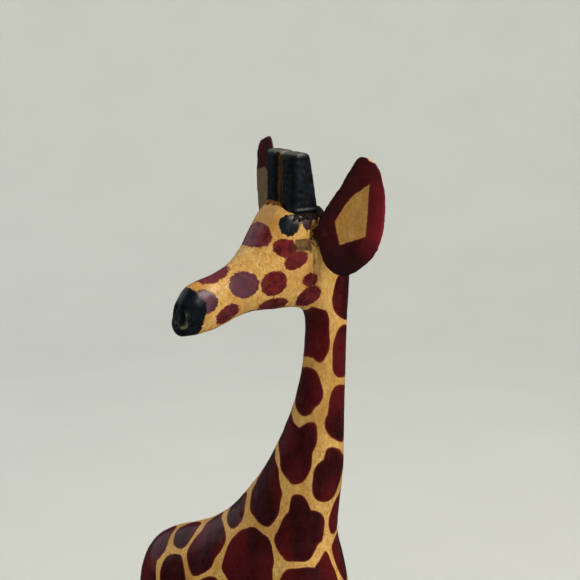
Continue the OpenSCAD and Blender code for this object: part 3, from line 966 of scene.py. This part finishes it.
def build_tail():
    """The hanging tail, with strands cut into its tuft."""
    tail = fine_copy("tail", "tail_carving", SMALL_VOXEL, 8)
    points, out = vertices(tail), normals(tail)
    low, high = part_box("tail")
    down = (high[2] - points[:, 2]) / (high[2] - low[2])
    center = (np.array(low) + np.array(high)) / 2
    angle = np.arctan2(points[:, 1] - center[1], points[:, 0] - low[0] - 2.3 * MM)
    tuft = np.clip((down - 0.64) / 0.08, 0, 1)
    strands = -0.16 * np.abs(np.sin(angle * 5 + down * 6)) * tuft
    set_vertices(tail, points + out * (strands * MM)[:, None])
    store(tail, "black", (down - 0.66) * 20)
    shade_smooth(tail)
    tail.data.materials.append(tail_paint())
    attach(tail, "root")
    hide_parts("tail")
    return tail


# ---------------------------------------------------------------- stage

VIEW_AZIMUTH = math.radians(30)
VIEW_ELEVATION = math.radians(12)
VIEW_DISTANCE = 350 * MM
LENS_MM = 95
# The camera looks at a point a little to the left of the throat and above it.
AIM_LEFT = 8.23 * MM
AIM_UP = 4.8 * MM
# The floor, in metres: flat part, radius of the sweep, top of the wall round it.
FLAT_RADIUS = 0.6
SWEEP = 0.6
WALL_TOP = 1.4
SWEEP_STEPS = 16
ROUND_STEPS = 96


def camera_axes():
    """Unit vectors from the statue toward the camera, and to the right and up in its view."""
    around, lift = VIEW_AZIMUTH, VIEW_ELEVATION
    toward = Vector((math.sin(around) * math.cos(lift), -math.cos(around) * math.cos(lift),
                     math.sin(lift)))
    right = Vector((math.cos(around), math.sin(around), 0))
    return toward, right, toward.cross(right)


def add_camera():
    toward, right, up = camera_axes()
    data = bpy.data.cameras.new("camera")
    data.lens = LENS_MM
    data.sensor_width = 36
    data.clip_start = 0.01
    camera = bpy.data.objects.new("camera", data)
    bpy.context.collection.objects.link(camera)
    aim = THROAT - right * AIM_LEFT + up * AIM_UP
    camera.location = aim + toward * VIEW_DISTANCE
    camera.rotation_euler = (aim - camera.location).to_track_quat("-Z", "Y").to_euler()
    bpy.context.scene.camera = camera


def add_floor():
    """A pale round floor that lies flat under the statue and sweeps up on every side."""
    profile = [(0.0, 0.0), (FLAT_RADIUS, 0.0)]
    for step in range(1, SWEEP_STEPS + 1):
        angle = math.radians(90 * step / SWEEP_STEPS)
        profile.append((FLAT_RADIUS + SWEEP * math.sin(angle), SWEEP * (1 - math.cos(angle))))
    profile.append((FLAT_RADIUS + SWEEP, WALL_TOP))
    points = [(0, 0, 0)]
    faces = []
    for row, (radius, height) in enumerate(profile[1:]):
        for step in range(ROUND_STEPS):
            angle = 2 * math.pi * step / ROUND_STEPS
            points.append((radius * math.cos(angle), radius * math.sin(angle), height))
            here = 1 + row * ROUND_STEPS + step
            after = 1 + row * ROUND_STEPS + (step + 1) % ROUND_STEPS
            if row == 0:
                faces.append((0, here, after))
            else:
                faces.append((here - ROUND_STEPS, here, after, after - ROUND_STEPS))
    mesh = bpy.data.meshes.new("floor")
    mesh.from_pydata(points, [], faces)
    floor = new_object("floor", mesh)
    floor.visible_glossy = False
    shade_smooth(floor)
    n = Nodes("floor_paper")
    tone = n.noise(60, detail=2)
    color = n.mix(tone, rgb(214, 215, 209), rgb(208, 209, 203))
    mesh.materials.append(n.finish(color, 0.8, None, coat=0.0, specular=0.2))


def add_area(name, place, aim, size, power, color, shiny=True):
    """A soft square lamp; its place and aim are right, up and toward the camera from the throat."""
    toward, right, _ = camera_axes()
    level = Vector((toward.x, toward.y, 0)).normalized()

    def spot(values):
        return THROAT + (right * values[0] + Vector((0, 0, 1)) * values[1] + level * values[2]) * MM

    data = bpy.data.lights.new(name, "AREA")
    data.size = size
    data.energy = power
    data.color = color
    lamp = bpy.data.objects.new(name, data)
    lamp.visible_glossy = shiny
    bpy.context.collection.objects.link(lamp)
    lamp.location = spot(place)
    lamp.rotation_euler = (spot(aim) - lamp.location).to_track_quat("-Z", "Y").to_euler()


def add_lights():
    """A warm key lamp on the right, a large cool window on the left, and fills for the backdrop."""
    neck = (0, -30, 0)
    add_area("key_right", (560, 380, 260), neck, 0.35, 4.2, (1.0, 0.94, 0.86))
    add_area("window_left", (-700, 450, -400), neck, 0.9, 1.5, (0.84, 0.92, 1.0))
    add_area("front_fill", (-200, 420, 700), neck, 0.5, 1.75, (1.0, 0.98, 0.95), shiny=False)
    add_area("backdrop", (0, 900, -350), (0, 260, -1000), 1.0, 6.2, (1.0, 1.0, 0.99), shiny=False)
    add_area("backdrop_front", (0, 900, 350), (0, 260, 1000), 1.0, 1.6, (1.0, 1.0, 0.99), shiny=False)
    world = bpy.data.worlds.new("world")
    bpy.context.scene.world = world
    world.use_nodes = True
    sky = world.node_tree.nodes["Background"]
    sky.inputs["Color"].default_value = (0.8, 0.84, 0.88, 1)
    sky.inputs["Strength"].default_value = 0.05


# ---------------------------------------------------------------- build

add_camera()
carving = build_body()
for side_name in ("left", "right"):
    build_ear(side_name)
    build_stub(side_name)
build_glue(carving)
build_tail()
add_floor()
add_lights()
bpy.context.scene.view_settings.view_transform = "Standard"
